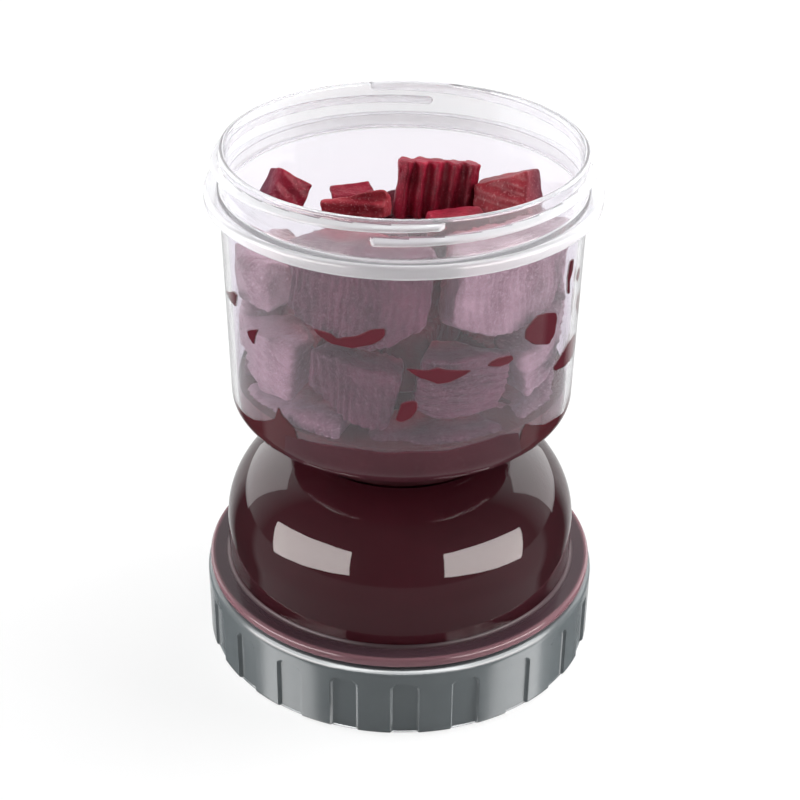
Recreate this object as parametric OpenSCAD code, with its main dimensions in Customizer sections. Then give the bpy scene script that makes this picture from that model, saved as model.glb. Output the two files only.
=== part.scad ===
// Hourglass pickle jar: two clear chambers screwed together at a narrow waist, with a strainer
// between them. The lower chamber stands in its screw lid, and the upper one is open at the top.
// Millimetres, +Z up, origin at the centre of the circle that the lid stands on.

/* [Screw necks] */
// Outer diameter of the lower chamber's screw neck, inside the lid
lower_neck_d = 97.2; // [90:0.1:106]
// Outer diameter of the upper chamber's open screw neck
upper_neck_d = 92; // [86:0.1:100]
// Length of each screw neck, from its flange to its lip
neck_h = 9.7; // [9:0.1:14]
// How far a thread ridge stands out of its neck
thread_h = 2; // [1.4:0.1:2.4]
// Height of a thread ridge where it leaves the wall
thread_base = 1.9; // [1.4:0.1:2.1]
// Height of a thread ridge at its crest
thread_crest = 0.8; // [0.5:0.1:0.9]
// Rise of a thread in one full turn
thread_lead = 7; // [6.6:0.1:8]
// Angle that one thread ridge runs round its neck
thread_sweep = 198; // [185:1:210]
// Distance from a neck's lip to the nearest end of its thread ridges
thread_from_lip = 1.6; // [1.2:0.1:2.2]

/* [Lid] */
// Height of the lid
lid_h = 20.7; // [19:0.1:26]
// Thickness of the lid's skirt
lid_skirt = 2.9; // [2.2:0.1:4]
// Thickness of the lid's plate
lid_plate = 2.2; // [1.5:0.1:3]
// Gap between the lid's edge and the flange above it
lid_gap = 0.7; // [0.4:0.1:1.5]
// Number of grip flutes round the lid
flute_count = 21; // [12:1:26]
// Width of a grip flute
flute_w = 7.8; // [4:0.1:10]
// Depth of a grip flute
flute_depth = 0.7; // [0.3:0.1:1]
// Distance from the lid's upper edge down to the flutes
flute_from_top = 4.3; // [2:0.1:8]
// Radius of a flute's upper corners
flute_corner = 2.2; // [0.5:0.1:3]
// Thickness of the lid's seal ring
lid_seal_t = 1.4; // [0.8:0.1:2]
// Radial width of the lid's seal ring
lid_seal_w = 4.6; // [3:0.1:8]

/* [Lower chamber] */
// How far the lower chamber's wall is set in from its neck
lower_inset = 0.75; // [0:0.05:1.2]
// How far the lower flange stands out of its neck
lower_flange_w = 4.6; // [3.5:0.1:6]
// Thickness of the lower flange
lower_flange_t = 2.5; // [1.5:0.1:4]
// Height of the straight wall above the lower flange
lower_wall_h = 11.1; // [6:0.1:30]
// Width of the domed shoulder, from the wall towards the axis
shoulder_w = 32.5; // [26:0.1:36]
// Height of the domed shoulder
shoulder_h = 27.2; // [22:0.1:40]

/* [Upper chamber] */
// How far the upper flange stands out of its neck
upper_flange_w = 4; // [3:0.1:6]
// Thickness of the upper flange
upper_flange_t = 3.6; // [2:0.1:5]
// How far the wall's upper end stands out of the neck
upper_swell = 0.2; // [0:0.05:0.6]
// How far the wall closes in from its upper end to its lower end
upper_taper = 1; // [0:0.1:2]
// Height of the wall, from the rounded bottom to the flange
upper_wall_h = 53.8; // [50:0.1:90]
// Width of the rounded bottom, from the wall towards the axis
bottom_w = 26; // [18:0.1:30]
// Depth of the rounded bottom
bottom_h = 11; // [9:0.1:16]
// Wall thickness of both chambers
wall = 1.6; // [1.2:0.1:2]

/* [Waist] */
// Outer diameter of the upper chamber's spout, below its thread ridges
spout_d = 45.2; // [38:0.1:47]
// Wall thickness of the spout
spout_wall = 2.4; // [1.8:0.1:3]
// Length of the spout
spout_l = 8; // [7.5:0.1:9]
// Wall thickness of the collar round the spout
collar_wall = 2.2; // [1.6:0.1:3]
// Height of the collar above the shoulder
collar_rise = 2; // [1.5:0.1:4]
// How far a waist thread ridge stands out
waist_thread_h = 1.4; // [1:0.1:1.6]
// Height of a waist thread ridge where it leaves the wall
waist_thread_base = 1.6; // [1.2:0.1:1.8]
// Height of a waist thread ridge at its crest
waist_thread_crest = 0.7; // [0.4:0.1:0.8]
// Rise of the waist thread in one full turn
waist_lead = 6; // [5.8:0.1:6.6]
// Angle that one waist thread ridge runs round the spout
waist_sweep = 120; // [90:1:150]
// Thickness of the seal ring between the chambers
waist_seal_t = 1.2; // [0.8:0.1:2]
// Width of the flat land round the seal ring
land_w = 1.8; // [1:0.1:3]

/* [Strainer] */
// Thickness of the strainer's disc
strainer_t = 1.2; // [0.8:0.1:1.6]
// How far the strainer's disc rests on its ledge
strainer_rest = 2.6; // [1.5:0.1:4]
// Depth of the ring under the disc that centres it
strainer_ring_h = 1.6; // [1:0.1:3]
// Wall of that ring
strainer_ring_wall = 1.2; // [0.8:0.1:2]
// Diameter of a drain hole
hole_d = 3; // [2:0.1:3.5]
// Distance between two rings of drain holes
hole_pitch = 5; // [4.6:0.1:8]
// Thickness of the ledge under the strainer
ledge_t = 1.8; // [1.2:0.1:3]

/* [Beetroot] */
// Number of wide slices that fit round the wall in the lowest and in the upper layer
wide_slices = 6; // [5:1:8]
// Number of slices that stand round the wall in the middle layer
mid_slices = 9; // [6:1:11]
// Gap between two slices side by side in a ring
slice_gap = 3; // [1:0.1:6]
// Thickness of a slice that stands against the wall
beet_d = 13; // [10:0.1:15]
// Thickness of a slice in the middle of a layer
core_d = 13; // [8:0.1:16]
// Height of the layer that stands in the juice
floor_h = 12.3; // [8:0.1:18]
// Height of the middle layer
mid_h = 20; // [16:0.1:28]
// Height of the slices at the front of the upper layer
front_h = 29; // [18:0.1:31]
// Height of the slices at the sides and in the middle of the upper layer
side_h = 16; // [10:0.1:20]
// Width of one crinkle
crinkle_pitch = 3.6; // [2.5:0.1:5]
// Depth of one crinkle
crinkle_depth = 1.2; // [0.5:0.1:1.6]
// How much of a slice's corners is rounded away
beet_corner = 2.5; // [1:0.1:4]
// How far below the start of the rounded bottom the first layer lies
first_layer_drop = 4; // [2:0.1:6]

/* [Juice] */
// Height of the juice in the upper chamber above the start of the rounded bottom
upper_juice_rise = 5; // [1:0.1:8]

/* [Clearances] */
// Radial and axial gap between a thread ridge and what it runs in
thread_gap = 0.5; // [0.3:0.05:0.8]
// Gap between the contents and what holds them
fill_gap = 0.3; // [0.2:0.05:0.6]
// Gap between the beetroot and the wall
wall_gap = 0.4; // [0.3:0.05:0.8]
// Gap between the strainer and the parts above and beside it
strainer_gap = 0.5; // [0.3:0.05:0.8]
// Small chamfer on the outer edges
edge = 0.6; // [0.2:0.1:0.8]

/* [Hidden] */
$fn = 96;
arc_steps = 14;
ridge_steps = 22;
lug_steps = 8;
// A ridge's foot reaches this far into its wall
ridge_sink = 0.5;
// A ridge's first and last ring, as parts of its full height and width
ridge_end_rise = 0.3;
ridge_end_width = 0.6;
// The lid's and the collar's own short ridges: where they start on the neck's ridge, and their length
lug_start = 100;
lug_sweep = 60;
waist_lug_start = 30;
// Cuts reach this far past the surface that they open
cut_over = 1;

// Heights, from the floor up
lower_flange_z = lid_h + lid_gap;
lower_lip_z = lower_flange_z - neck_h;
lid_plate_top = lower_lip_z - lid_seal_t;
lower_flange_top = lower_flange_z + lower_flange_t;
shoulder_z = lower_flange_top + lower_wall_h;
collar_z = shoulder_z + shoulder_h + collar_rise;
land_z = collar_z + waist_seal_t;
spout_z = land_z - spout_l;
strainer_top = spout_z - strainer_gap;
ledge_z = strainer_top - strainer_t;
bottom_z = land_z + bottom_h;
upper_flange_z = bottom_z + upper_wall_h;
upper_flange_top = upper_flange_z + upper_flange_t;
lip_z = upper_flange_top + neck_h;
juice_z = bottom_z + upper_juice_rise;

// Radii
lower_neck_r = lower_neck_d / 2;
lid_bore_r = lower_neck_r + thread_h + thread_gap;
lid_r = lid_bore_r + lid_skirt;
lower_r = lower_neck_r - lower_inset;
lower_flange_r = lower_neck_r + lower_flange_w;
upper_neck_r = upper_neck_d / 2;
upper_flange_r = upper_neck_r + upper_flange_w;
upper_top_r = upper_neck_r + upper_swell;
upper_low_r = upper_top_r - upper_taper;
spout_r = spout_d / 2;
spout_bore_r = spout_r - spout_wall;
collar_bore_r = spout_r + waist_thread_h + thread_gap;
collar_r = collar_bore_r + collar_wall;
land_r = collar_r + land_w;
strainer_r = spout_r;
throat_r = strainer_r - strainer_rest;
shoulder_c = lower_r - shoulder_w;
bottom_c = upper_low_r - bottom_w;

// The ridges of a neck start here, and a lug runs midway between two of them
lower_thread_z = lower_lip_z + thread_from_lip;
upper_thread_z = lip_z - thread_from_lip - thread_lead * thread_sweep / 360;
waist_thread_z = spout_z + waist_thread_base;

// Layers of beetroot
floor_z = bottom_z - bottom_h + wall;
floor_layer_z = bottom_z - first_layer_drop;
mid_layer_z = floor_layer_z + floor_h + fill_gap;
upper_layer_z = mid_layer_z + mid_h + fill_gap;
top_layer_z = upper_layer_z + side_h + fill_gap;
floor_ring_r = bottom_c + dome_r(bottom_w - wall, bottom_h - wall, first_layer_drop) - wall_gap;
upper_ring_r = upper_low_r - wall - wall_gap;
// The angle of a ring's last slice, and of the first core slice, in each layer
floor_turn = -78;
mid_turn = -107;
upper_turn = -106;
floor_core_turn = 20;
mid_core_turn = 75;
upper_core_turn = -55;
// Places of the upper layer's ring that hold a slice
front_places = [0, 1];
side_places = [2, wide_slices - 1];

// Slices on top of the pile, placed by hand: x, y, turn, width, thickness and height.
// Their lengths are parts of the upper ring's radius.
top_slices = [
    [0.19, 0.21, 5, 0.51, 0.21, 0.33],
    [-0.69, 0.09, 60, 0.3, 0.2, 0.3],
    [-0.28, -0.05, -8, 0.39, 0.25, 0.23],
    [-0.3, 0.23, 12, 0.3, 0.18, 0.14],
    [0.65, 0.09, -35, 0.32, 0.23, 0.28],
    [0.3, -0.19, 10, 0.32, 0.21, 0.16],
    [-0.14, -0.34, 8, 0.37, 0.18, 0.18]
];

// Radius of an ellipse's quarter at a distance from its wide end
function dome_r(w, h, drop) = w * sqrt(1 - pow(drop / h, 2));

// Quarter of an ellipse from its wide end to a radius near the axis, rising or falling by side
function dome(c, z, w, h, side, r_end) =
    let (t_end = acos(max(0, min(1, (r_end - c) / w))))
    [for (i = [0 : arc_steps]) let (t = t_end * i / arc_steps) [c + w * cos(t), z + side * h * sin(t)]];

function reversed(list) = [for (i = [len(list) - 1 : -1 : 0]) list[i]];

// Half the angle that a ring leaves for one slice, at the circle that its outer corners lie on
function slice_angle(r, count) = 180 / count - asin(slice_gap / 2 / r);

// Distance of a ring slice's outer face from the axis
function ring_face(r, count) = r * cos(slice_angle(r, count));

// Width of a ring slice at its outer and at its inner face
function outer_w(r, count) = 2 * r * sin(slice_angle(r, count));
function inner_w(r, count) =
    2 * (ring_face(r, count) - beet_d) * tan(180 / count) - slice_gap / cos(180 / count);

// Width of one of the two core slices, back to back inside a ring
function core_w(r, count) =
    2 * sqrt(pow(ring_face(r, count) - beet_d - slice_gap / 2, 2) - pow(core_d + fill_gap, 2));

// Corner points of one ring of a ridge
function ridge_ring(foot_r, crest_r, base, crest, a, z, rise, width) =
    let (r = foot_r + (crest_r - foot_r) * rise)
    [for (p = [[foot_r, -base], [r, -crest], [r, crest], [foot_r, base]])
        [p[0] * cos(a), p[0] * sin(a), z + p[1] / 2 * width]];

// Helical ridge with low rounded ends; a crest inside its foot makes an internal ridge
module ridge(foot_r, crest_r, base, crest, lead, start, sweep, z, steps) {
    points = [for (k = [0 : steps])
        let (at_end = k == 0 || k == steps, turn = sweep * k / steps)
        each ridge_ring(
            foot_r, crest_r, base, crest, start + turn, z + lead * turn / 360,
            at_end ? ridge_end_rise : 1, at_end ? ridge_end_width : 1)];
    sides = [for (k = [0 : steps - 1], i = [0 : 3])
        let (a = 4 * k + i, b = 4 * k + (i + 1) % 4)
        each [[a, b + 4, b], [a, a + 4, b + 4]]];
    last = 4 * steps;
    caps = [[0, 1, 2], [0, 2, 3], [last, last + 2, last + 1], [last, last + 3, last + 2]];
    faces = concat(sides, caps);
    polyhedron(points, foot_r < crest_r ? [for (f = faces) reversed(f)] : faces);
}

// The two thread ridges of a chamber's neck
module neck_thread(neck_r, z) {
    for (start = [0, 180])
        ridge(neck_r - ridge_sink, neck_r + thread_h, thread_base, thread_crest, thread_lead,
            thread_start + start, thread_sweep, z, ridge_steps);
}
// The first ridge starts at the front, a little to the left
thread_start = -98;

module base_lid() {
    color("slategray") difference() {
        union() {
            rotate_extrude() polygon([
                [lid_bore_r, 0], [lid_r - edge, 0], [lid_r, edge], [lid_r, lid_h - edge],
                [lid_r - edge, lid_h], [lid_bore_r, lid_h], [lid_bore_r, lid_plate_top],
                [0, lid_plate_top], [0, lid_plate_top - lid_plate], [lid_bore_r, lid_plate_top - lid_plate]
            ]);
            for (start = [0, 180]) lid_lug(thread_start + start);
        }
        intersection() {
            difference() {
                cylinder(r = lid_r + cut_over, h = lid_h);
                translate([0, 0, -cut_over]) cylinder(r = lid_r - flute_depth, h = lid_h + 2 * cut_over);
            }
            for (i = [0 : flute_count - 1]) rotate([0, 0, flute_turn + i * 360 / flute_count]) flute();
        }
    }
}
// One flute faces the front, a little to the right
flute_turn = -88;

// Short ridge inside the lid that runs above a ridge of the neck
module lid_lug(start) {
    ridge(lid_bore_r + ridge_sink, lid_bore_r - thread_h, thread_base, thread_crest, thread_lead,
        start + lug_start, lug_sweep,
        lower_thread_z + thread_lead * (lug_start / 360 + 1 / 4), lug_steps);
}

// Upright flute, open at the foot, with two round upper corners
module flute() {
    flute_top = lid_h - flute_from_top;
    side = flute_w / 2 - flute_corner;
    translate([lid_r - 2 * flute_depth, 0, 0]) rotate([90, 0, 90])
        linear_extrude(2 * flute_depth + cut_over) {
            translate([-flute_w / 2, -cut_over]) square([flute_w, flute_top - flute_corner + cut_over]);
            translate([-side, 0]) square([2 * side, flute_top]);
            for (x = [-side, side]) translate([x, flute_top - flute_corner]) circle(flute_corner);
        }
}

module lid_seal() {
    seal_r = lower_neck_r + thread_gap;
    color("whitesmoke") translate([0, 0, lid_plate_top]) difference() {
        cylinder(r = seal_r, h = lid_seal_t);
        translate([0, 0, -cut_over]) cylinder(r = seal_r - lid_seal_w, h = lid_seal_t + 2 * cut_over);
    }
}

module lower_chamber() {
    color([0.8, 0.78, 0.8, 0.4]) {
        rotate_extrude() polygon(concat(
            [[lower_neck_r - wall, lower_lip_z], [lower_neck_r, lower_lip_z], [lower_neck_r, lower_flange_z]],
            [[lower_flange_r - edge, lower_flange_z], [lower_flange_r, lower_flange_z + edge]],
            [[lower_flange_r, lower_flange_top - edge], [lower_flange_r - edge, lower_flange_top]],
            [[lower_r, lower_flange_top]],
            dome(shoulder_c, shoulder_z, shoulder_w, shoulder_h, 1, collar_r),
            [[collar_r, collar_z], [collar_bore_r, collar_z], [collar_bore_r, ledge_z], [throat_r, ledge_z]],
            [[throat_r, ledge_z - ledge_t], [collar_r, ledge_z - ledge_t]],
            reversed(dome(shoulder_c, shoulder_z, shoulder_w - wall, shoulder_h - wall, 1, collar_r)),
            [[lower_r - wall, lower_flange_top], [lower_neck_r - wall, lower_flange_z]]
        ));
        neck_thread(lower_neck_r, lower_thread_z);
        for (start = [0, 180])
            ridge(collar_bore_r + ridge_sink, collar_bore_r - waist_thread_h, waist_thread_base,
                waist_thread_crest, waist_lead, thread_start + start + waist_lug_start, lug_sweep,
                waist_thread_z + waist_lead * (waist_lug_start / 360 + 1 / 4), lug_steps);
    }
}

module lower_juice() {
    gap = wall + fill_gap;
    color([0.22, 0.04, 0.07]) rotate_extrude() polygon(concat(
        [[0, lower_lip_z], [lower_neck_r - gap, lower_lip_z], [lower_neck_r - gap, lower_flange_z]],
        [[lower_r - gap, lower_flange_top]],
        dome(shoulder_c, shoulder_z, shoulder_w - gap, shoulder_h - gap, 1, collar_r + fill_gap),
        [[collar_r + fill_gap, ledge_z - ledge_t - fill_gap], [0, ledge_z - ledge_t - fill_gap]]
    ));
}

module strainer() {
    ring_r = throat_r - strainer_gap;
    ring_bore_r = ring_r - strainer_ring_wall;
    hole_rings = floor((ring_bore_r - hole_d / 2) / hole_pitch);
    color("white") difference() {
        union() {
            translate([0, 0, ledge_z]) cylinder(r = strainer_r, h = strainer_t);
            translate([0, 0, ledge_z - strainer_ring_h]) cylinder(r = ring_r, h = strainer_ring_h);
        }
        translate([0, 0, ledge_z - strainer_ring_h - cut_over])
            cylinder(r = ring_bore_r, h = strainer_ring_h + cut_over);
        for (k = [1 : hole_rings], i = [0 : 6 * k - 1])
            rotate([0, 0, i * 60 / k])
                translate([k * hole_pitch, 0, ledge_z - cut_over])
                    cylinder(d = hole_d, h = strainer_t + 2 * cut_over);
    }
}

module waist_seal() {
    color("whitesmoke") translate([0, 0, collar_z]) difference() {
        cylinder(r = collar_r, h = waist_seal_t);
        translate([0, 0, -cut_over]) cylinder(r = collar_bore_r, h = waist_seal_t + 2 * cut_over);
    }
}

module upper_chamber() {
    color([0.9, 0.9, 0.92, 0.35]) {
        rotate_extrude() polygon(concat(
            [[spout_bore_r, spout_z], [spout_r, spout_z], [spout_r, land_z], [land_r, land_z]],
            reversed(dome(bottom_c, bottom_z, bottom_w, bottom_h, -1, land_r)),
            [[upper_top_r, upper_flange_z]],
            [[upper_flange_r - edge, upper_flange_z], [upper_flange_r, upper_flange_z + edge]],
            [[upper_flange_r, upper_flange_top - edge], [upper_flange_r - edge, upper_flange_top]],
            [[upper_neck_r, upper_flange_top], [upper_neck_r, lip_z - edge], [upper_neck_r - edge, lip_z]],
            [[upper_neck_r - wall, lip_z], [upper_neck_r - wall, upper_flange_top]],
            [[upper_top_r - wall, upper_flange_z]],
            dome(bottom_c, bottom_z, bottom_w - wall, bottom_h - wall, -1, spout_bore_r),
            [[spout_bore_r, floor_z]]
        ));
        neck_thread(upper_neck_r, upper_thread_z);
        for (start = [0, 180])
            ridge(spout_r - ridge_sink, spout_r + waist_thread_h, waist_thread_base, waist_thread_crest,
                waist_lead, thread_start + start, waist_sweep, waist_thread_z, ridge_steps);
    }
}

module upper_juice() {
    gap = wall + fill_gap;
    wall_rise = (juice_z - bottom_z) / upper_wall_h;
    out_w = outer_w(floor_ring_r, wide_slices);
    in_w = inner_w(floor_ring_r, wide_slices);
    mid_w = core_w(floor_ring_r, wide_slices);
    color([0.32, 0.05, 0.09]) difference() {
        rotate_extrude() polygon(concat(
            [[0, strainer_top + fill_gap], [spout_bore_r - fill_gap, strainer_top + fill_gap]],
            [[spout_bore_r - fill_gap, floor_z + fill_gap]],
            reversed(dome(bottom_c, bottom_z, bottom_w - gap, bottom_h - gap, -1, spout_bore_r)),
            [[upper_low_r + upper_taper * wall_rise - gap, juice_z], [0, juice_z]]
        ));
        for (i = [1 : wide_slices])
            in_ring(floor_ring_r, wide_slices, floor_turn, i, floor_layer_z)
                linear_extrude(floor_h) slice_room(out_w, in_w, beet_d);
        for (i = [1 : 2])
            in_core(floor_core_turn, i, floor_z)
                linear_extrude(mid_layer_z - floor_z) slice_room(mid_w, mid_w, core_d);
    }
}

// Outline of the space that a slice takes in the juice
module slice_room(w_out, w_in, d) {
    out = w_out / 2 + fill_gap;
    in = w_in / 2 + fill_gap;
    y = d / 2 + fill_gap;
    polygon([[-out, -y], [out, -y], [in, y], [-in, y]]);
}

// Puts a slice at its place in a ring, with its outer face towards the wall
module in_ring(r, count, turn, i, z) {
    rotate([0, 0, turn + 90 + i * 360 / count])
        translate([0, beet_d / 2 - ring_face(r, count), z]) children();
}

// Puts one of a pair of slices in the middle of a layer
module in_core(turn, i, z) {
    rotate([0, 0, turn + 180 * i]) translate([0, -core_d / 2 - fill_gap, z]) children();
}

// Points of one crinkled side
function crinkles(w, y, depth) =
    let (steps = 4 * max(1, round(w / crinkle_pitch)))
    [for (k = [0 : steps]) [w * (k / steps - 1 / 2), y + depth * (1 - cos(90 * k)) / 2]];

// Outline of a slice with crinkles on its outer and inner side
module crinkle_outline(w_out, w_in, d) {
    polygon(concat(
        crinkles(w_out, -d / 2, crinkle_depth),
        reversed(crinkles(w_in, d / 2, -crinkle_depth))
    ));
}

// Crinkle-cut slice on its lower face, with its crinkles upright or level
module beet_slice(w_out, w_in, d, h, upright) {
    round_r = sqrt(w_out * w_out + h * h) / 2 - beet_corner;
    color([0.45, 0.06, 0.14]) intersection() {
        if (upright) {
            linear_extrude(h) crinkle_outline(w_out, w_in, d);
        } else {
            intersection() {
                linear_extrude(h) polygon([
                    [-w_out / 2, -d / 2], [w_out / 2, -d / 2], [w_in / 2, d / 2], [-w_in / 2, d / 2]
                ]);
                translate([-w_out / 2, 0, h / 2]) rotate([0, 90, 0])
                    linear_extrude(w_out) crinkle_outline(h, h, d);
            }
        }
        translate([0, 0, h / 2]) rotate([90, 0, 0]) cylinder(r = round_r, h = 2 * d, center = true);
    }
}

// Slice that stands against the wall
module ring_slice(r, count, turn, i, z, h, upright) {
    in_ring(r, count, turn, i, z) beet_slice(outer_w(r, count), inner_w(r, count), beet_d, h, upright);
}

// One of the two slices in the middle of a layer
module core_slice(r, count, turn, i, z, h) {
    in_core(turn, i, z) beet_slice(core_w(r, count), core_w(r, count), core_d, h, true);
}

module beet_floor(i) {
    ring_slice(floor_ring_r, wide_slices, floor_turn, i, floor_layer_z, floor_h, i % 2 == 0);
}

module beet_floor_core(i) {
    h = mid_layer_z - floor_z - 2 * fill_gap;
    core_slice(floor_ring_r, wide_slices, floor_core_turn, i, floor_z + fill_gap, h);
}

module beet_mid(i) {
    ring_slice(upper_ring_r, mid_slices, mid_turn, i, mid_layer_z, mid_h, i % 3 < 2);
}

module beet_mid_core(i) {
    core_slice(upper_ring_r, mid_slices, mid_core_turn, i, mid_layer_z, mid_h);
}

module beet_front(i) {
    ring_slice(upper_ring_r, wide_slices, upper_turn, front_places[i - 1], upper_layer_z, front_h, i == 1);
}

module beet_side(i) {
    ring_slice(upper_ring_r, wide_slices, upper_turn, side_places[i - 1], upper_layer_z, side_h, i == 1);
}

module beet_upper_core(i) {
    core_slice(upper_ring_r, wide_slices, upper_core_turn, i, upper_layer_z, side_h);
}

module beet_top(i) {
    s = top_slices[i - 1];
    r = upper_ring_r;
    translate([s[0] * r, s[1] * r, top_layer_z]) rotate([0, 0, s[2]])
        beet_slice(s[3] * r, s[3] * r, s[4] * r, s[5] * r, i % 3 == 1);
}

base_lid();
lid_seal();
lower_chamber();
lower_juice();
strainer();
waist_seal();
upper_chamber();
upper_juice();
for (i = [1 : wide_slices])
    beet_floor(i);
for (i = [1 : 2])
    beet_floor_core(i);
for (i = [1 : mid_slices])
    beet_mid(i);
for (i = [1 : 2])
    beet_mid_core(i);
for (i = [1 : len(front_places)])
    beet_front(i);
for (i = [1 : len(side_places)])
    beet_side(i);
for (i = [1 : 2])
    beet_upper_core(i);
for (i = [1 : len(top_slices)])
    beet_top(i);
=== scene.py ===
import math
import random

import bpy
from mathutils import Matrix, Vector, noise


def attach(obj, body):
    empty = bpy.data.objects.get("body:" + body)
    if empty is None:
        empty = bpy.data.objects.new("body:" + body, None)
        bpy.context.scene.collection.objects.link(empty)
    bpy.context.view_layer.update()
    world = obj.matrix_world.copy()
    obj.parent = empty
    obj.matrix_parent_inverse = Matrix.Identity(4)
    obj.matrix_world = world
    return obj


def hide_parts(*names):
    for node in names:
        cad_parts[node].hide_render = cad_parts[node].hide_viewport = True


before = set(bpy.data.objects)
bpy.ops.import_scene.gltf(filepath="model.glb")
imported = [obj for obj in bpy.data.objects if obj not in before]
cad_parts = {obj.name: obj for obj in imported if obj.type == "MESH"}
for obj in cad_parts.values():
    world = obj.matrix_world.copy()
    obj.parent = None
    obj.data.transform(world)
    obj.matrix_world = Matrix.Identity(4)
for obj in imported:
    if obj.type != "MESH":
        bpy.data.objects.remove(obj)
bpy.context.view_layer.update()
mm = 0.001
bpy.context.scene.view_settings.view_transform = "Standard"
print("stage 1: frame loaded,", len(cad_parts), "nodes")


# small tools that every piece uses; lengths are millimetres unless a note says metres

meshSet = {"mergeMetres": 2e-6, "cutMetres": 1e-7, "outlineNear": 0.02, "faceNear": 0.05, "slack": 0.1,
           "sectorSteps": 64}


def selectOnly(obj):
    bpy.ops.object.select_all(action="DESELECT")
    obj.select_set(True)
    bpy.context.view_layer.objects.active = obj


def faceOutwards(obj):
    selectOnly(obj)
    bpy.ops.object.mode_set(mode="EDIT")
    bpy.ops.mesh.select_all(action="SELECT")
    bpy.ops.mesh.normals_make_consistent(inside=False)
    bpy.ops.object.mode_set(mode="OBJECT")


def smoothStep(t):
    t = max(0.0, min(1.0, t))
    return t * t * (3 - 2 * t)


def mixValue(a, b, t):
    return a + (b - a) * t


def radiusAndHeight(co):
    return math.hypot(co.x, co.y) / mm, co.z / mm


def pushOut(co, r, change):
    grow = (r + change) / r
    co.x *= grow
    co.y *= grow


def arcPoints(cx, cz, rx, rz, start, end, steps):
    angles = [math.radians(mixValue(start, end, i / steps)) for i in range(steps + 1)]
    return [(cx + rx * math.cos(a), cz + rz * math.sin(a)) for a in angles]


def roundPoints(cx, cz, radius, start, end, steps):
    return arcPoints(cx, cz, radius, radius, start, end, steps)


def linePoints(a, b, step):
    count = max(1, round(math.dist(a, b) / step))
    return [(mixValue(a[0], b[0], i / count), mixValue(a[1], b[1], i / count)) for i in range(count + 1)]


def tidyOutline(points):
    kept = []
    for p in points:
        if not kept or math.dist(p, kept[-1]) > meshSet["outlineNear"]:
            kept.append(p)
    return kept


def drawPath(name, points, closed):
    # one vertex, extruded from point to point; points are metres in x, y, z
    bpy.ops.object.select_all(action="DESELECT")
    bpy.ops.mesh.primitive_plane_add(size=mm)
    obj = bpy.context.object
    obj.name = name
    obj.data.name = name
    bpy.ops.object.mode_set(mode="EDIT")
    bpy.ops.mesh.select_mode(type="VERT")
    bpy.ops.mesh.select_all(action="SELECT")
    bpy.ops.mesh.merge(type="CENTER")
    bpy.ops.transform.translate(value=points[0])
    track = list(points) + ([points[0]] if closed else [])
    for a, b in zip(track, track[1:]):
        step = Vector(b) - Vector(a)
        bpy.ops.mesh.extrude_region_move(TRANSFORM_OT_translate={"value": step})
    bpy.ops.mesh.select_all(action="SELECT")
    bpy.ops.mesh.remove_doubles(threshold=meshSet["mergeMetres"])
    return obj


def turnPiece(name, outline, steps, closed=True):
    # an outline of radius and height, turned round the jar's axis
    obj = drawPath(name, [(r * mm, 0, z * mm) for r, z in tidyOutline(outline)], closed)
    # spin a sector, then double it until the circle is closed
    doublings = 0
    while steps % 2 == 0 and steps > meshSet["sectorSteps"]:
        steps //= 2
        doublings += 1
    angle = 2 * math.pi / 2 ** doublings
    bpy.ops.mesh.spin(steps=steps, angle=angle, center=(0, 0, 0), axis=(0, 0, 1), use_auto_merge=False)
    for _ in range(doublings):
        bpy.ops.mesh.select_all(action="SELECT")
        bpy.ops.mesh.duplicate()
        bpy.ops.transform.rotate(value=angle, orient_axis="Z", center_override=(0, 0, 0))
        angle *= 2
    bpy.ops.mesh.select_all(action="SELECT")
    bpy.ops.mesh.remove_doubles(threshold=meshSet["mergeMetres"])
    bpy.ops.mesh.normals_make_consistent(inside=False)
    bpy.ops.object.mode_set(mode="OBJECT")
    return obj


def smoothPiece(obj, angle):
    selectOnly(obj)
    bpy.ops.object.shade_smooth_by_angle(angle=math.radians(angle))


def finishPiece(obj, body, slot, *nodes):
    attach(obj, body)
    if nodes:
        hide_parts(*nodes)


def paintFaces(obj, names, pickName):
    # each face takes the material that its place asks for
    for name in names:
        obj.data.materials.append(finishes[name])
    for face in obj.data.polygons:
        face.material_index = names.index(pickName(*radiusAndHeight(face.center)))


def ridgeHeight(angle, z, radius, ridge):
    # height of the nearest of two thread ridges at a place on a neck, with round ends
    best = 0.0
    for start in (ridge["start"], ridge["start"] + 180):
        turn = (angle - start) % 360
        over = 0.0
        along = turn
        if turn > ridge["sweep"]:
            fromEnd, fromStart = turn - ridge["sweep"], 360 - turn
            along = ridge["sweep"] if fromEnd < fromStart else 0.0
            over = min(fromEnd, fromStart)
        dz = z - ridge["low"] - ridge["lead"] * along / 360
        far = math.hypot(math.radians(over) * radius, dz)
        t = (far - ridge["crest"] / 2) / (ridge["base"] / 2 - ridge["crest"] / 2)
        best = max(best, ridge["height"] * (1 - smoothStep(t)))
    return best


def raiseRidges(obj, radius, lowZ, highZ, ridge):
    slack = meshSet["slack"]
    for v in obj.data.vertices:
        r, z = radiusAndHeight(v.co)
        if lowZ - slack < z < highZ + slack and abs(r - radius) < meshSet["faceNear"]:
            angle = math.degrees(math.atan2(v.co.y, v.co.x))
            pushOut(v.co, r, ridgeHeight(angle, z, radius, ridge))


# camera at the photo's angle, its place in metres

cameraSet = {"lens": 75.06, "sensor": 36, "clipStart": 0.01, "place": (0, -0.38696, 0.29796), "tilt": 59.5,
             "roll": 0.012, "shift": -0.0017}

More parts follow.
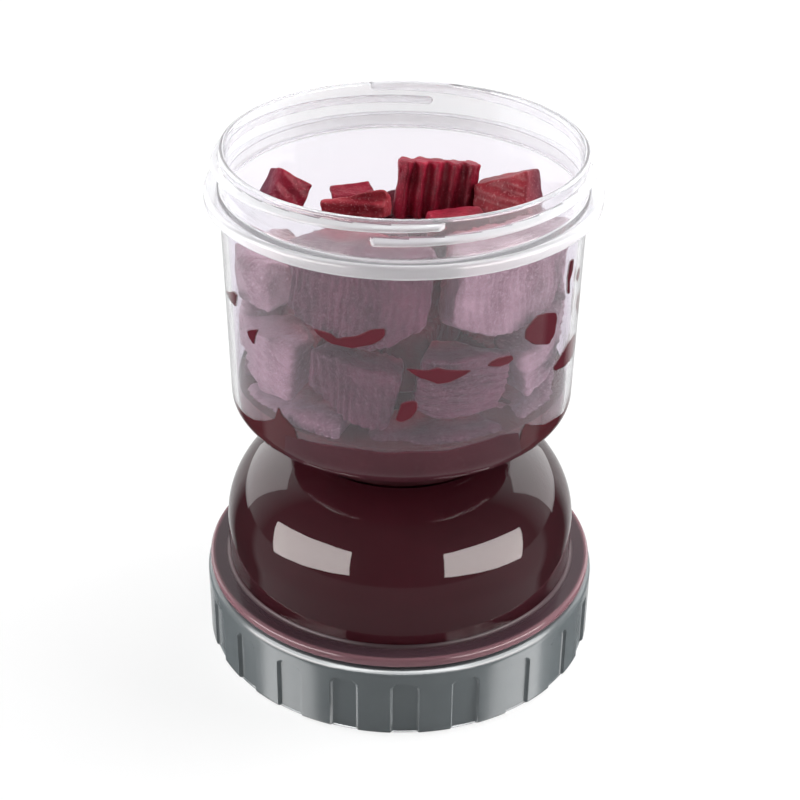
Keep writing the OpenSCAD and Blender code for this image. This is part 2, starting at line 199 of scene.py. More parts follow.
camData = bpy.data.cameras.new("camera")
camData.lens = cameraSet["lens"]
camData.sensor_width = cameraSet["sensor"]
camData.shift_x = cameraSet["shift"]
camData.clip_start = cameraSet["clipStart"]
camera = bpy.data.objects.new("camera", camData)
bpy.context.scene.collection.objects.link(camera)
camera.matrix_world = (Matrix.Translation(cameraSet["place"])
                       @ Matrix.Rotation(math.radians(cameraSet["tilt"]), 4, "X")
                       @ Matrix.Rotation(cameraSet["roll"], 4, "Z"))
bpy.context.scene.camera = camera


# nodes that the materials are made of

def newMaterial(name):
    mat = bpy.data.materials.new(name)
    mat.use_nodes = True
    mat.node_tree.nodes.clear()
    return mat, mat.node_tree


def feed(tree, socket, value):
    # a link from another node or a fixed value; a colour gets its alpha here
    if isinstance(value, bpy.types.NodeSocket):
        tree.links.new(value, socket)
    elif socket.type == "RGBA":
        socket.default_value = (*value, 1.0)
    else:
        socket.default_value = value


def addNode(tree, kind, sockets=None, **settings):
    node = tree.nodes.new("ShaderNode" + kind)
    for key, value in settings.items():
        setattr(node, key, value)
    for key, value in (sockets or {}).items():
        feed(tree, node.inputs[key], value)
    return node


def objectPlace(tree):
    return addNode(tree, "TexCoord").outputs["Object"]


def noiseNode(tree, place, size, detail, rough=0.5):
    sockets = {"Vector": place, "Scale": size, "Detail": detail, "Roughness": rough}
    return addNode(tree, "TexNoise", sockets).outputs["Fac"]


def mathNode(tree, operation, *values):
    return addNode(tree, "Math", dict(enumerate(values)), operation=operation).outputs["Value"]


def rangeNode(tree, source, low, high, fromLow=0.0, fromHigh=1.0):
    sockets = {"Value": source, "From Min": fromLow, "From Max": fromHigh, "To Min": low, "To Max": high}
    return addNode(tree, "MapRange", sockets).outputs["Result"]


def mixColour(tree, factor, a, b):
    node = addNode(tree, "Mix", {"Factor": factor}, data_type="RGBA")
    for key, value in (("A", a), ("B", b)):
        feed(tree, [s for s in node.inputs if s.name == key and s.type == "RGBA"][0], value)
    return [s for s in node.outputs if s.type == "RGBA"][0]


def mixShader(tree, factor, a, b):
    return addNode(tree, "MixShader", {"Fac": factor, 1: a, 2: b}).outputs["Shader"]


def bumpNode(tree, height, strength, metres):
    sockets = {"Height": height, "Strength": strength, "Distance": metres}
    return addNode(tree, "Bump", sockets).outputs["Normal"]


def partOf(tree, place, axis):
    return addNode(tree, "SeparateXYZ", {"Vector": place}).outputs[axis]


def radiusNode(tree, place):
    # distance from the jar's axis
    flat = addNode(tree, "VectorMath", {0: place, 1: (1, 1, 0)}, operation="MULTIPLY").outputs["Vector"]
    return addNode(tree, "VectorMath", {0: flat}, operation="LENGTH").outputs["Value"]


def showShader(tree, shader):
    addNode(tree, "OutputMaterial", {"Surface": shader})


skinSet = {"cloudSize": 45.0, "streaks": (260, 260, 30), "scuffRange": (0.55, 0.8)}


def mouldedSkinGroup():
    # fine orange peel, faint flow streaks and scuffs of moulded plastic
    tree = bpy.data.node_groups.new("mouldedSkin", "ShaderNodeTree")
    for label in ("Grain Size", "Scuffs"):
        tree.interface.new_socket(name=label, in_out="INPUT", socket_type="NodeSocketFloat")
    for label in ("Rough Mask", "Tone Mask", "Height"):
        tree.interface.new_socket(name=label, in_out="OUTPUT", socket_type="NodeSocketFloat")
    given = tree.nodes.new("NodeGroupInput")
    made = tree.nodes.new("NodeGroupOutput")
    place = objectPlace(tree)
    grain = noiseNode(tree, place, given.outputs["Grain Size"], detail=2.0)
    cloud = noiseNode(tree, place, skinSet["cloudSize"], detail=5.0, rough=0.6)
    streaks = addNode(tree, "Mapping", {"Vector": place, "Scale": skinSet["streaks"]}).outputs["Vector"]
    scuff = noiseNode(tree, streaks, 1.0, detail=6.0, rough=0.7)
    worn = mathNode(tree, "MULTIPLY", rangeNode(tree, scuff, 0.0, 1.0, *skinSet["scuffRange"]),
                    given.outputs["Scuffs"])
    feed(tree, made.inputs["Rough Mask"], mathNode(tree, "ADD", worn, cloud))
    feed(tree, made.inputs["Tone Mask"], cloud)
    feed(tree, made.inputs["Height"], grain)
    return tree


mouldedSkin = mouldedSkinGroup()


def skinNode(tree, grain, scuffs):
    return addNode(tree, "Group", {"Grain Size": grain, "Scuffs": scuffs}, node_tree=mouldedSkin).outputs


# lid, seals and strainer: through is the share of light that goes into the plastic

mouldedKinds = {
    "slatePlastic": {"tones": ((0.090, 0.102, 0.108), (0.126, 0.141, 0.147)), "rough": (0.12, 0.24),
                     "grain": 1400.0, "scuffs": 0.15, "ior": 1.5, "bump": 0.08, "through": 0.0},
    "sealSilicone": {"tones": ((0.16, 0.05, 0.065), (0.24, 0.09, 0.105)), "rough": (0.35, 0.55),
                     "grain": 1100.0, "scuffs": 0.2, "ior": 1.43, "bump": 0.1, "through": 0.4},
    "strainerPlastic": {"tones": ((0.70, 0.70, 0.69), (0.80, 0.80, 0.79)), "rough": (0.35, 0.55),
                        "grain": 1100.0, "scuffs": 0.2, "ior": 1.43, "bump": 0.1, "through": 0.0},
}


def mouldedPlastic(name, kind):
    mat, tree = newMaterial(name)
    skin = skinNode(tree, kind["grain"], kind["scuffs"])
    bsdf = addNode(tree, "BsdfPrincipled", {
        "Base Color": mixColour(tree, skin["Tone Mask"], *kind["tones"]),
        "Roughness": rangeNode(tree, skin["Rough Mask"], *kind["rough"]),
        "Normal": bumpNode(tree, skin["Height"], kind["bump"], metres=0.0002),
        "IOR": kind["ior"], "Transmission Weight": kind["through"]})
    showShader(tree, bsdf.outputs["BSDF"])
    return mat


# clear walls: haze is the share of light that the plastic scatters, shade the share of lamp light that it
# lets through, rim the colour seen edge on, partly painted shade;
# the tones follow heights or radii where these are given

wallSkin = {"grain": 300.0, "scuffs": 0.2, "cloud": 0.25, "cloudRange": (0.12, 1.12),
            "rimFacing": (0.78, 0.95), "bump": 0.006, "ior": 1.5}

clearKinds = {
    "clearWall": {"tones": ((0.93, 0.935, 0.95), (0.97, 0.97, 0.985)), "haze": 0.0, "rough": (0.004, 0.015),
                  "shade": 0.85, "rim": (0.30, 0.30, 0.33)},
    # the milky wall is painted paler and whiter higher up: painted light that the plastic scatters from above
    "milkyWall": {"tones": ((0.82, 0.71, 0.85), (0.94, 0.89, 0.98)), "haze": 0.035, "rough": (0.008, 0.02),
                  "shade": 0.8, "heights": (74, 128)},
    "milkyNeck": {"tones": ((0.86, 0.865, 0.89), (0.92, 0.92, 0.945)), "haze": 0.18, "rough": (0.03, 0.06),
                  "shade": 0.8, "rim": (0.60, 0.60, 0.63)},
    "clearNeck": {"tones": ((0.91, 0.915, 0.93), (0.95, 0.95, 0.965)), "haze": 0.0, "rough": (0.015, 0.05),
                  "shade": 0.85},
    "milkyRim": {"tones": ((0.80, 0.80, 0.82), (0.86, 0.86, 0.875)), "haze": 0.58, "rough": (0.06, 0.14),
                 "shade": 0.8, "rim": (0.55, 0.55, 0.58)},
    "softFlange": {"tones": ((0.84, 0.845, 0.86), (0.90, 0.90, 0.915)), "haze": 0.22, "rough": (0.06, 0.14),
                   "shade": 0.8},
    "clearLower": {"tones": ((0.94, 0.90, 0.92), (1.0, 0.97, 0.98)), "haze": 0.0, "rough": (0.015, 0.05),
                   "shade": 0.7},
    "mauveRim": {"tones": ((0.100, 0.056, 0.070), (0.36, 0.18, 0.21)), "haze": 0.5, "rough": (0.05, 0.12),
                 "shade": 0.6, "radii": (51.7, 52.5)},
    "rimFillet": {"tones": ((0.07, 0.035, 0.045), (0.12, 0.06, 0.07)), "haze": 0.5, "rough": (0.35, 0.5),
                  "shade": 0.6},
}


def clearPlastic(name, kind):
    mat, tree = newMaterial(name)
    skin = skinNode(tree, wallSkin["grain"], wallSkin["scuffs"])
    share = skin["Tone Mask"]
    if "heights" in kind or "radii" in kind:
        place = objectPlace(tree)
        # for the milky wall the heights paint the tone paler higher up, as painted light
        along = partOf(tree, place, "Z") if "heights" in kind else radiusNode(tree, place)
        low, high = kind.get("heights") or kind["radii"]
        rise = rangeNode(tree, along, 0.0, 1.0, low * mm, high * mm)
        cloudy = mathNode(tree, "MULTIPLY_ADD", share, wallSkin["cloud"], rise)
        share = rangeNode(tree, cloudy, 0.0, 1.0, *wallSkin["cloudRange"])
    colour = mixColour(tree, share, *kind["tones"])
    if "rim" in kind:
        # the way through the wall is longest where it is seen edge on; the darker edge-on colour is also
        # painted shade for the dark surroundings that the edges refract
        facing = addNode(tree, "LayerWeight", {"Blend": 0.5}).outputs["Facing"]
        edgeOnShade = rangeNode(tree, facing, 0.0, 1.0, *wallSkin["rimFacing"])
        colour = mixColour(tree, edgeOnShade, colour, kind["rim"])
    bsdf = addNode(tree, "BsdfPrincipled", {
        "Base Color": colour,
        "Roughness": rangeNode(tree, skin["Rough Mask"], *kind["rough"]),
        "Normal": bumpNode(tree, skin["Height"], wallSkin["bump"], metres=0.0001),
        "IOR": wallSkin["ior"], "Transmission Weight": 1.0 - kind["haze"]})
    # lamps shine through the wall
    shadowRay = addNode(tree, "LightPath").outputs["Is Shadow Ray"]
    clear = addNode(tree, "BsdfTransparent", {"Color": kind["tones"][1]})
    showShader(tree, mixShader(tree, mathNode(tree, "MULTIPLY", shadowRay, kind["shade"]),
                               bsdf.outputs["BSDF"], clear.outputs["BSDF"]))
    return mat


juiceSkin = {"cloudSize": 70.0, "bitSize": 900.0, "roughOver": 0.12, "ior": 1.34}

juiceKinds = {
    "deepJuice": {"tones": ((0.042, 0.006, 0.010), (0.056, 0.009, 0.015)), "rough": 0.3, "specular": 0.1},
    "poolJuice": {"tones": ((0.060, 0.006, 0.010), (0.095, 0.010, 0.016)), "rough": 0.15, "specular": 0.4},
    "bandJuice": {"tones": ((0.065, 0.018, 0.026), (0.115, 0.034, 0.046)), "rough": 0.2, "specular": 0.1},
    "filmJuice": {"tones": ((0.105, 0.012, 0.022), (0.155, 0.020, 0.034)), "rough": 0.3, "specular": 0.1},
    "stainedJoint": {"tones": ((0.030, 0.005, 0.008), (0.050, 0.010, 0.014)), "rough": 0.3, "specular": 0.1},
}


def juiceMaterial(name, kind):
    mat, tree = newMaterial(name)
    place = objectPlace(tree)
    cloud = noiseNode(tree, place, juiceSkin["cloudSize"], detail=4.0, rough=0.55)
    bits = noiseNode(tree, place, juiceSkin["bitSize"], detail=2.0)
    bsdf = addNode(tree, "BsdfPrincipled", {
        "Base Color": mixColour(tree, cloud, *kind["tones"]),
        "Roughness": rangeNode(tree, bits, kind["rough"], kind["rough"] + juiceSkin["roughOver"]),
        "IOR": juiceSkin["ior"], "Specular IOR Level": kind["specular"]})
    showShader(tree, bsdf.outputs["BSDF"])
    return mat


# beetroot: flesh is deep, light and fibre colour; the painted veil is darkest, palest and glint colour by the
# wall, where the light that the milky wall scatters is painted onto the slices

redFlesh = ((0.14, 0.003, 0.013), (0.35, 0.012, 0.038), (0.42, 0.07, 0.10))
# paler cut flesh, partly painted sheen of wet faces turned to the light
paleRedSheen = ((0.20, 0.012, 0.022), (0.42, 0.055, 0.070), (0.52, 0.20, 0.21))
darkRed = ((0.06, 0.003, 0.010), (0.15, 0.008, 0.022), (0.20, 0.04, 0.06))
paintedMauveVeil = ((0.060, 0.018, 0.034), (0.135, 0.048, 0.080), (0.27, 0.16, 0.205))
paintedPaleVeil = ((0.21, 0.110, 0.145), (0.46, 0.315, 0.370), (0.60, 0.46, 0.51))

# flesh, painted veil, and the radii between which one goes over into the other
beetKinds = {
    "wetBeetroot": (redFlesh, paintedMauveVeil, (30, 37)),
    "cutBeetroot": (paleRedSheen, paintedMauveVeil, (30, 37)),
    "coreBeetroot": (darkRed, paintedMauveVeil, (30, 37)),
    "wallBeetroot": (redFlesh, paintedMauveVeil, (27, 36)),
    "bleachedBeetroot": (redFlesh, paintedPaleVeil, (27, 36)),
    "neckBeetroot": (redFlesh, paintedPaleVeil, (6, 22)),
}

beetSkin = {
    "blotchSize": 110.0, "blotchRange": (0.35, 0.68), "patchSize": 38.0, "toneRange": (0.78, 1.2),
    "fibreSize": 1500.0, "fibreGlintRange": (0.55, 0.70), "fibreGlintMost": 0.85, "pitSize": 900.0,
    "paintedVeilMost": 0.92, "paintedVeilHeights": (78, 125), "lowShare": 0.85,
    "rough": (0.28, 0.55), "bump": 0.35, "ior": 1.38, "specular": 0.2, "coat": 0.08, "coatRough": 0.1,
}


def scaled(colour, share):
    return tuple(c * share for c in colour)


def beetMaterial(name, kind):
    s = beetSkin
    (deep, light, thread), (darkest, palest, glintColour), (veilFrom, veilTo) = kind
    mat, tree = newMaterial(name)
    place = objectPlace(tree)
    blotch = noiseNode(tree, place, s["blotchSize"], detail=5.0, rough=0.6)
    fibre = noiseNode(tree, place, s["fibreSize"], detail=4.0, rough=0.7)
    patch = noiseNode(tree, place, s["patchSize"], detail=2.0)
    pits = addNode(tree, "TexVoronoi", {"Vector": place, "Scale": s["pitSize"]}).outputs["Distance"]
    # fibre specks: beet fibres in the flesh; by the wall their whitish colour is also painted glints of
    # moisture
    fibreGlint = rangeNode(tree, fibre, 0.0, s["fibreGlintMost"], *s["fibreGlintRange"])
    flesh = mixColour(tree, rangeNode(tree, blotch, 0.0, 1.0, *s["blotchRange"]), deep, light)
    flesh = mixColour(tree, fibreGlint, flesh, thread)
    # painted light: slices that lie against the wall are painted paler and greyer there, more so higher up,
    # for the light that the milky wall scatters
    nearWall = rangeNode(tree, radiusNode(tree, place), 0.0, s["paintedVeilMost"], veilFrom * mm, veilTo * mm)
    rise = rangeNode(tree, partOf(tree, place, "Z"), 0.0, 1.0, *(z * mm for z in s["paintedVeilHeights"]))
    pale = mixColour(tree, rise, scaled(palest, s["lowShare"]), palest)
    dark = mixColour(tree, rise, scaled(darkest, s["lowShare"]), darkest)
    tone = rangeNode(tree, mathNode(tree, "ADD", blotch, patch), 0.0, 1.0, *s["toneRange"])
    paintedVeil = mixColour(tree, fibreGlint, mixColour(tree, tone, dark, pale), glintColour)
    bsdf = addNode(tree, "BsdfPrincipled", {
        "Base Color": mixColour(tree, nearWall, flesh, paintedVeil),
        "Roughness": rangeNode(tree, fibre, *s["rough"]),
        "Normal": bumpNode(tree, mathNode(tree, "ADD", pits, fibre), s["bump"], metres=0.0003),
        "IOR": s["ior"], "Specular IOR Level": s["specular"],
        "Coat Weight": s["coat"], "Coat Roughness": s["coatRough"]})
    showShader(tree, bsdf.outputs["BSDF"])
    return mat


finishes = {}
for makeFinish, kinds in ((mouldedPlastic, mouldedKinds), (clearPlastic, clearKinds),
                          (juiceMaterial, juiceKinds), (beetMaterial, beetKinds)):
    for finishName, finishKind in kinds.items():
        finishes[finishName] = makeFinish(finishName, finishKind)
print("stage 2:", len(finishes), "materials made")


# thread that both necks have, each at its own height

neckThread = {"start": -98, "sweep": 198, "lead": 7, "base": 2.3, "crest": 0.5, "height": 1.9}


# upper chamber: cup with a rounded bottom, flange and open screw neck

upperCup = {
    "steps": 432,
    "neckR": 46.0, "wall": 1.6, "flangeR": 50.0, "flangeLow": 130.2, "flangeTop": 133.8, "lip": 143.5,
    "topR": 46.2, "lowR": 45.2, "bottomZ": 76.4, "bottomW": 26.0, "bottomH": 11.0,
    "landR": 28.5, "landZ": 65.4, "spoutR": 22.6, "boreR": 20.2, "spoutZ": 57.4, "floorZ": 67.0,
    "edge": 0.4, "underFillet": 0.6, "lowRound": 1.1, "topRound": 1.3, "neckFillet": 0.5, "lipRound": 0.8,
    "neckRidge": {**neckThread, "low": 138.05},
    "spoutRidge": {"start": -98, "sweep": 120, "lead": 6, "low": 59.0, "base": 1.6, "crest": 0.5,
                   "height": 1.4},
}

# how near a face lies to the form that gives it its finish
cupZones = {"neckNear": 0.4, "wallNear": 0.5, "ridgeOut": 0.25, "flangeOut": 0.02, "edgeIn": 1.5}


def domeEnd(centre, width, radius):
    return math.degrees(math.acos((radius - centre) / width))


def innerRadius(z):
    # inner face of the upper chamber's wall at a height
    u = upperCup
    if z >= u["bottomZ"]:
        rise = (z - u["bottomZ"]) / (u["flangeLow"] - u["bottomZ"])
        return u["lowR"] - u["wall"] + (u["topR"] - u["lowR"]) * min(1, rise)
    drop = min(1, (u["bottomZ"] - z) / (u["bottomH"] - u["wall"]))
    return u["lowR"] - u["bottomW"] + (u["bottomW"] - u["wall"]) * math.sqrt(1 - drop * drop)


def cupFinish(r, z):
    u, near = upperCup, cupZones
    lipLow = u["lip"] - u["lipRound"]
    neckLow = u["flangeTop"] + u["neckFillet"]
    inNeck = u["neckR"] - u["wall"]
    onNeck = u["flangeLow"] < z < lipLow and abs(r - inNeck) < near["neckNear"]
    onWall = u["floorZ"] < z <= u["flangeLow"] and abs(r - innerRadius(z)) < near["wallNear"]
    onRidge = z > neckLow and r > u["neckR"] + near["ridgeOut"]
    onFlange = u["flangeLow"] - meshSet["slack"] < z < neckLow and r > u["neckR"] + near["flangeOut"]
    if onNeck or z > lipLow:
        return "milkyNeck"
    if onWall:
        return "milkyWall"
    if onRidge or (onFlange and r > u["flangeR"] - near["edgeIn"]):
        return "milkyRim"
    if onFlange:
        return "softFlange"
    if z > u["flangeTop"]:
        return "clearNeck"
    if z < u["landZ"] + meshSet["faceNear"] and r < u["landR"]:
        return "stainedJoint"
    return "clearWall"


def buildUpperCup():
    u = upperCup
    edge, under, lowRound, topRound = u["edge"], u["underFillet"], u["lowRound"], u["topRound"]
    low, top, fillet, lipRound = u["flangeLow"], u["flangeTop"], u["neckFillet"], u["lipRound"]
    lipLow = u["lip"] - lipRound
    centre = u["lowR"] - u["bottomW"]
    innerW, innerH = u["bottomW"] - u["wall"], u["bottomH"] - u["wall"]
    inNeck = u["neckR"] - u["wall"]
    outline = [(u["boreR"] + edge, u["spoutZ"]), (u["spoutR"] - edge, u["spoutZ"])]
    outline += linePoints((u["spoutR"], u["spoutZ"] + edge), (u["spoutR"], u["landZ"]), step=0.28)
    outline += linePoints((u["spoutR"], u["landZ"]), (u["landR"], u["landZ"]), step=1.5)
    outline += arcPoints(centre, u["bottomZ"], u["bottomW"], u["bottomH"],
                         -domeEnd(centre, u["bottomW"], u["landR"]), 0, steps=30)
    outline += linePoints((u["lowR"], u["bottomZ"]), (u["topR"], low - under), step=3.5)
    outline += roundPoints(u["topR"] + under, low - under, under, 180, 90, steps=4)
    outline += roundPoints(u["flangeR"] - lowRound, low + lowRound, lowRound, -90, 0, steps=6)
    outline += roundPoints(u["flangeR"] - topRound, top - topRound, topRound, 0, 90, steps=7)
    outline += roundPoints(u["neckR"] + fillet, top + fillet, fillet, 270, 180, steps=4)
    outline += linePoints((u["neckR"], top + fillet), (u["neckR"], lipLow), step=0.2)
    outline += roundPoints(u["neckR"] - lipRound, lipLow, lipRound, 0, 180, steps=12)
    outline += linePoints((inNeck, lipLow), (inNeck, top), step=1.5)
    outline += linePoints((u["topR"] - u["wall"], low), (u["lowR"] - u["wall"], u["bottomZ"]), step=3.5)
    outline += arcPoints(centre, u["bottomZ"], innerW, innerH, 0,
                         -domeEnd(centre, innerW, u["boreR"]), steps=30)
    outline += linePoints((u["boreR"], u["floorZ"] - meshSet["slack"]),
                          (u["boreR"], u["spoutZ"] + edge), step=2)
    cup = turnPiece("upper_chamber_wall", outline, u["steps"])
    raiseRidges(cup, u["neckR"], top + fillet, lipLow, u["neckRidge"])
    raiseRidges(cup, u["spoutR"], u["spoutZ"] + edge, u["landZ"] - edge, u["spoutRidge"])
    paintFaces(cup, ("clearWall", "milkyWall", "milkyRim", "stainedJoint", "milkyNeck", "clearNeck",
                     "softFlange"), cupFinish)
    smoothPiece(cup, angle=89)
    finishPiece(cup, "upper_chamber", "clear_plastic", "upper_chamber")
    return cup


upperWall = buildUpperCup()
print("stage 3: upper chamber", len(upperWall.data.polygons), "faces")


# lower chamber: domed, with a neck that screws into the lid, and full of juice

lowerDome = {
    "steps": 432, "juiceSteps": 288,
    "neckR": 48.6, "wall": 1.6, "lipZ": 11.7, "flangeR": 53.2, "flangeLow": 21.4, "flangeTop": 23.9,
    "wallR": 47.85, "shoulderZ": 35.0, "shoulderW": 32.5, "shoulderH": 27.2,
    "collarR": 26.7, "collarZ": 64.2, "collarBore": 24.5, "collarFoot": 3.2, "footOut": 0.6, "stainOut": 0.9,
    "ledgeZ": 55.6, "ledgeT": 1.8, "throatR": 20.0,
    "edge": 0.4, "lowRound": 0.8, "topRound": 0.9,
    "neckRidge": {**neckThread, "low": 13.3},
    "juiceInto": 0.4, "juiceEdge": 0.3,
}


def domeFinish(r, z):
    d, slack = lowerDome, meshSet["slack"]
    if d["flangeLow"] - slack < z < d["flangeTop"] + slack and r > d["wallR"] + d["topRound"]:
        return "mauveRim"
    if z > d["ledgeZ"] - d["ledgeT"] - slack and r < d["collarR"] + d["stainOut"]:
        return "stainedJoint"
    if d["flangeTop"] < z < d["flangeTop"] + d["topRound"] and r > d["wallR"]:
        return "rimFillet"
    return "clearLower"


def buildLowerDome():
    d = lowerDome
    edge, lowRound, topRound = d["edge"], d["lowRound"], d["topRound"]
    low, top, ledgeLow = d["flangeLow"], d["flangeTop"], d["ledgeZ"] - d["ledgeT"]
    centre = d["wallR"] - d["shoulderW"]
    innerW, innerH = d["shoulderW"] - d["wall"], d["shoulderH"] - d["wall"]
    inNeck, inWall = d["neckR"] - d["wall"], d["wallR"] - d["wall"]
    outline = [(inNeck + edge, d["lipZ"]), (d["neckR"] - edge, d["lipZ"])]
    outline += linePoints((d["neckR"], d["lipZ"] + edge), (d["neckR"], low - edge), step=0.22)
    outline += roundPoints(d["neckR"] + edge, low - edge, edge, 180, 90, steps=3)
    outline += roundPoints(d["flangeR"] - lowRound, low + lowRound, lowRound, -90, 0, steps=5)
    outline += roundPoints(d["flangeR"] - topRound, top - topRound, topRound, 0, 90, steps=6)
    outline += roundPoints(d["wallR"] + topRound, top + topRound, topRound, 270, 180, steps=6)
    outline += linePoints((d["wallR"], top + topRound), (d["wallR"], d["shoulderZ"]), step=2)
    outline += arcPoints(centre, d["shoulderZ"], d["shoulderW"], d["shoulderH"], 0,
                         domeEnd(centre, d["shoulderW"], d["collarR"] + d["footOut"]), steps=44)
    outline += linePoints((d["collarR"], d["collarZ"] - d["collarFoot"]),
                          (d["collarR"], d["collarZ"] - edge), step=0.7)
    outline += [(d["collarR"] - edge, d["collarZ"]), (d["collarBore"] + edge, d["collarZ"])]
    outline += linePoints((d["collarBore"], d["collarZ"] - edge), (d["collarBore"], d["ledgeZ"]), step=1)
    outline += [(d["throatR"], d["ledgeZ"]), (d["throatR"], ledgeLow), (d["collarR"], ledgeLow)]
    outline += arcPoints(centre, d["shoulderZ"], innerW, innerH,
                         domeEnd(centre, innerW, d["collarR"]), 0, steps=40)
    outline += linePoints((inWall, d["shoulderZ"]), (inWall, top), step=2)
    outline += linePoints((inNeck, low), (inNeck, d["lipZ"] + edge), step=2)
    dome = turnPiece("lower_chamber_wall", outline, d["steps"])
    raiseRidges(dome, d["neckR"], d["lipZ"] + edge, low - edge, d["neckRidge"])
    paintFaces(dome, ("clearLower", "mauveRim", "stainedJoint", "rimFillet"), domeFinish)
    smoothPiece(dome, angle=45)
    finishPiece(dome, "lower_chamber", "clear_plastic", "lower_chamber")
    return dome


def buildLowerJuice():
    # a body that wets the inner wall
    d = lowerDome
    centre = d["wallR"] - d["shoulderW"]
    into = d["wall"] - d["juiceInto"]
    edge = d["juiceEdge"]
    wide, high = d["shoulderW"] - into, d["shoulderH"] - into
    top = d["ledgeZ"] - d["ledgeT"] - meshSet["slack"]
    outline = [(0, d["lipZ"]), (d["neckR"] - d["wall"] - edge, d["lipZ"])]
    outline += linePoints((d["neckR"] - into, d["lipZ"] + edge), (d["neckR"] - into, d["flangeLow"]), step=2)
    outline += linePoints((d["wallR"] - into, d["flangeTop"]), (d["wallR"] - into, d["shoulderZ"]), step=1.5)
    outline += arcPoints(centre, d["shoulderZ"], wide, high, 0,
                         domeEnd(centre, wide, d["collarR"] + edge), steps=40)
    outline += linePoints((d["collarR"] + edge, top), (0, top), step=3)
    juice = turnPiece("lower_juice_body", outline, d["juiceSteps"], closed=False)
    juice.data.materials.append(finishes["deepJuice"])
    smoothPiece(juice, angle=40)
    finishPiece(juice, "lower_chamber", "juice", "lower_juice")


lowerWall = buildLowerDome()
buildLowerJuice()
print("stage 4: lower chamber", len(lowerWall.data.polygons), "faces")


# lid that the jar stands in: recessed flutes with round upper corners

gripLid = {
    "flutes": 21, "columnsPerFlute": 48, "turn": -88,
    "radius": 54.0, "bore": 51.1, "height": 20.7, "plateLow": 8.1, "plateTop": 10.3, "plateHole": 3,
    "fluteW": 7.8, "fluteTop": 16.4, "corner": 2.2, "depth": 1.0, "slope": 0.55,
    "topRound": 1.8, "footRound": 0.7, "topEdge": 0.4, "footEdge": 0.5, "underChamfer": 1, "rimSlack": 0.01,
}


def fluteDepth(angle, z):
    g = gripLid
    pitch = 360 / g["flutes"]
    off = (angle - g["turn"] + pitch / 2) % pitch - pitch / 2
    side = abs(math.radians(off)) * g["radius"] - (g["fluteW"] / 2 - g["corner"])
    above = z - (g["fluteTop"] - g["corner"])
    if above > 0:
        edge = math.hypot(max(side, 0), above) - g["corner"]
    else:
        edge = side - g["corner"]
    return g["depth"] * smoothStep(-edge / g["slope"])


def closePlate(lid):
    # the short wall of the hole in the middle goes, then both faces are filled over the axis
    g = gripLid
    selectOnly(lid)
    bpy.ops.object.mode_set(mode="EDIT")
    bpy.ops.mesh.select_all(action="DESELECT")
    bpy.ops.object.mode_set(mode="OBJECT")
    reach = g["plateHole"] + meshSet["slack"]
    for edge in lid.data.edges:
        ends = [lid.data.vertices[i].co for i in edge.vertices]
        upright = abs(ends[0].z - ends[1].z) > mm
        edge.select = upright and all(math.hypot(end.x, end.y) < reach * mm for end in ends)
    bpy.ops.object.mode_set(mode="EDIT")
    bpy.ops.mesh.select_mode(type="EDGE")
    bpy.ops.mesh.delete(type="EDGE")
    bpy.ops.mesh.select_all(action="SELECT")
    bpy.ops.mesh.fill_holes(sides=0)
    bpy.ops.object.mode_set(mode="OBJECT")
    faceOutwards(lid)


def buildLid():
    g = gripLid
    radius, bore, footRound, topRound = g["radius"], g["bore"], g["footRound"], g["topRound"]
    chamfer = g["underChamfer"]
    outline = [(bore + g["footEdge"], 0)]
    outline += roundPoints(radius - footRound, footRound, footRound, -90, 0, steps=5)
    outline += linePoints((radius, footRound), (radius, g["height"] - topRound), step=0.4)
    outline += roundPoints(radius - topRound, g["height"] - topRound, topRound, 0, 90, steps=8)
    outline += [(bore + g["topEdge"], g["height"])]
    outline += linePoints((bore, g["height"] - g["topEdge"]), (bore, g["plateTop"]), step=1.2)
    outline += [(g["plateHole"], g["plateTop"]), (g["plateHole"], g["plateLow"])]
    outline += linePoints((bore - chamfer, g["plateLow"]), (bore, g["plateLow"] - chamfer), step=0.5)
    outline += [(bore, g["footEdge"])]
    lid = turnPiece("base_lid_shell", outline, g["flutes"] * g["columnsPerFlute"])
    for v in lid.data.vertices:
        r, z = radiusAndHeight(v.co)
        if r > radius - footRound - g["rimSlack"] and z < g["fluteTop"]:
            sink = fluteDepth(math.degrees(math.atan2(v.co.y, v.co.x)), z)
            fade = smoothStep((r - radius + footRound) / footRound) if z < footRound else 1
            pushOut(v.co, r, -sink * fade)
    closePlate(lid)
    lid.data.materials.append(finishes["slatePlastic"])
    smoothPiece(lid, angle=35)
    finishPiece(lid, "base_lid", "lid_plastic", "base_lid")
    return lid


lidShell = buildLid()
print("stage 5: lid", len(lidShell.data.polygons), "faces")


# juice pool in the upper chamber, and the films where slices and pool touch the wall

poolSet = {"level": 81.4, "steps": 180, "off": 0.35, "into": 0.4, "wetTo": 73.0, "wetFade": 2,
           "strainerTop": 56.9, "strainerGap": 0.3, "boreOut": 0.2, "rimRise": 0.6, "meniscus": (1.6, 1.2),
           "flatIn": 3}

# degree is the width of one degree while the film is flat, flatDeep the film's thickness then
filmSet = {"into": 0.45, "bandInto": 0.6, "behind": 0.25, "rimBehind": 0.05, "angleStep": 2.5,
           "heightStep": 2.0, "corner": 0.5, "rim": 0.25, "degree": 0.75, "flatDeep": 1.0}

